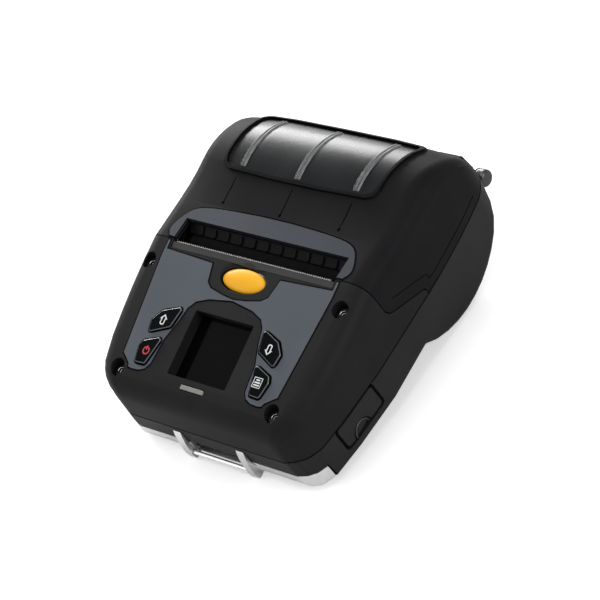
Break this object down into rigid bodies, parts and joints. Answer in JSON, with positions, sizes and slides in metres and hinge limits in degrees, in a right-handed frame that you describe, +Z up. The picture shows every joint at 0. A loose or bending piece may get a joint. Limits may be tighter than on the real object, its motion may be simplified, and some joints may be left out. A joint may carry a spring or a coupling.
{
  "type": "portable receipt printer",
  "caption": "Belt-worn receipt printer for 80 mm paper, with a roll chamber under a windowed lid, a keypad, a display and a metal strap bracket.",
  "frame": {"origin": "centre of the bounding box at the floor, with the printer standing on its round belly and its two front lugs", "axes": "+X to the printer's right as seen from behind its front, +Y from the strap bracket towards the roll, +Z up"},
  "size_m": [0.1158, 0.1452, 0.0641],
  "materials": {
    "case_plastic": "matte black moulding",
    "slate_overlay": "satin slate grey overlay",
    "display_glass": "black glass",
    "grey_metal": "satin grey",
    "pale_lens": "pale translucent lens",
    "gloss_black": "gloss black",
    "amber_plastic": "semi-gloss yellow-orange",
    "dark_steel": "blackened",
    "sheet_steel": "bright",
    "aluminium": "satin silver",
    "white_plastic": "natural white",
    "inner_plastic": "black",
    "rubber": "ground rubber",
    "smoky_plastic": "clear smoky, glossy",
    "circuit_board": "green solder mask",
    "battery_plastic": "dark grey"
  },
  "bodies": {
    "case": {"bottom_case": "case_plastic", "top_case": "case_plastic", "control_panel": "slate_overlay", "lcd_window": "display_glass", "lcd_module": "grey_metal", "status_led": "pale_lens", "case_screw_front_left": "dark_steel", "case_screw_front_right": "dark_steel", "case_screw_rear_left": "dark_steel", "case_screw_rear_right": "dark_steel", "tear_bar": "dark_steel", "chassis": "sheet_steel", "print_head": "white_plastic", "head_bracket": "aluminium", "head_spring_left": "sheet_steel", "head_spring_right": "sheet_steel", "latch_shaft": "sheet_steel", "stepper_motor": "grey_metal", "idler_stud": "sheet_steel", "hinge_rod": "grey_metal", "main_board": "circuit_board", "panel_board": "circuit_board", "battery_contacts": "sheet_steel", "strap_bracket": "aluminium", "strap_bar": "sheet_steel", "usb_socket": "sheet_steel", "dc_socket": "inner_plastic"},
    "cover": {"lid": "case_plastic", "lid_frame": "slate_overlay", "lid_window": "smoky_plastic", "platen_holder": "inner_plastic", "platen_bush_left": "inner_plastic", "platen_bush_right": "inner_plastic"},
    "platen": {"platen_roller": "rubber", "platen_shaft": "sheet_steel", "platen_gear": "white_plastic"},
    "idler": {"idler_gear": "white_plastic"},
    "drive": {"motor_pinion": "white_plastic"},
    "up": {"key_up": "gloss_black"},
    "down": {"key_down": "gloss_black"},
    "power": {"key_power": "gloss_black"},
    "menu": {"key_menu": "gloss_black"},
    "release": {"release_button": "amber_plastic"},
    "latch": {"latch_lever": "sheet_steel"},
    "socket_flap": {"connector_cover": "case_plastic"},
    "battery": {"battery_pack": "battery_plastic"},
    "catch": {"battery_catch": "inner_plastic"},
    "guide_right": {"roll_holder_right": "inner_plastic"},
    "guide_left": {"roll_holder_left": "inner_plastic"},
    "guide_gear": {"holder_pinion": "white_plastic"}
  },
  "joints": [
    {"name": "lid_open", "type": "hinge", "parent": "case", "child": "cover", "pos_m": [0, 0.06869, 0.02749], "axis": [-1, 0, 0], "range_deg": [0, 95]},
    {"name": "platen_spin", "type": "hinge", "parent": "cover", "child": "platen", "pos_m": [0, -0.00417, 0.04489], "axis": [1, 0, 0], "continuous": true},
    {"name": "idler_spin", "type": "hinge", "parent": "case", "child": "idler", "pos_m": [0.0499, -0.00724, 0.03205], "axis": [1, 0, 0], "continuous": true},
    {"name": "pinion_spin", "type": "hinge", "parent": "case", "child": "drive", "pos_m": [0.0499, -0.00771, 0.02246], "axis": [1, 0, 0], "continuous": true},
    {"name": "up_press", "type": "slide", "parent": "case", "child": "up", "axis": [0, 0.2848, -0.9586], "range_m": [0, 0.0008], "stiffness_N_per_m": 900},
    {"name": "down_press", "type": "slide", "parent": "case", "child": "down", "axis": [0, 0.2848, -0.9586], "range_m": [0, 0.0008], "stiffness_N_per_m": 900},
    {"name": "power_press", "type": "slide", "parent": "case", "child": "power", "axis": [0, 0.2848, -0.9586], "range_m": [0, 0.0008], "stiffness_N_per_m": 900},
    {"name": "menu_press", "type": "slide", "parent": "case", "child": "menu", "axis": [0, 0.2848, -0.9586], "range_m": [0, 0.0008], "stiffness_N_per_m": 900},
    {"name": "release_press", "type": "slide", "parent": "case", "child": "release", "axis": [0, 0.2848, -0.9586], "range_m": [0, 0.001], "stiffness_N_per_m": 1500},
    {"name": "latch_turn", "type": "hinge", "parent": "case", "child": "latch", "pos_m": [0, -0.01316, 0.03277], "axis": [1, 0, 0], "range_deg": [0, 10]},
    {"name": "flap_open", "type": "hinge", "parent": "case", "child": "socket_flap", "pos_m": [0.05615, -0.04191, 0.01988], "axis": [-0.096, -0.9917, -0.0854], "range_deg": [0, 80]},
    {"name": "battery_slide", "type": "slide", "parent": "case", "child": "battery", "axis": [0, 0.0857, -0.9963], "range_m": [0, 0.016]},
    {"name": "catch_slide", "type": "slide", "parent": "case", "child": "catch", "axis": [0, 0.9963, 0.0857], "range_m": [0, 0.0022]},
    {"name": "guide_right_slide", "type": "slide", "parent": "case", "child": "guide_right", "axis": [-1, 0, 0], "range_m": [0, 0.011]},
    {"name": "guide_left_slide", "type": "slide", "parent": "case", "child": "guide_left", "axis": [1, 0, 0], "range_m": [0, 0.011]},
    {"name": "guide_gear_spin", "type": "hinge", "parent": "case", "child": "guide_gear", "pos_m": [0, 0.00826, 0.01125], "axis": [0, 0.0857, -0.9963], "range_deg": [0, 200]}
  ],
  "couplings": [
    {"joint": "idler_spin", "follows": "platen_spin", "ratio": -1.2},
    {"joint": "pinion_spin", "follows": "platen_spin", "ratio": 2},
    {"joint": "latch_turn", "follows": "release_press", "rad_per_m": 174.53},
    {"joint": "guide_left_slide", "follows": "guide_right_slide", "ratio": 1},
    {"joint": "guide_gear_spin", "follows": "guide_right_slide", "rad_per_m": 312.5}
  ]
}
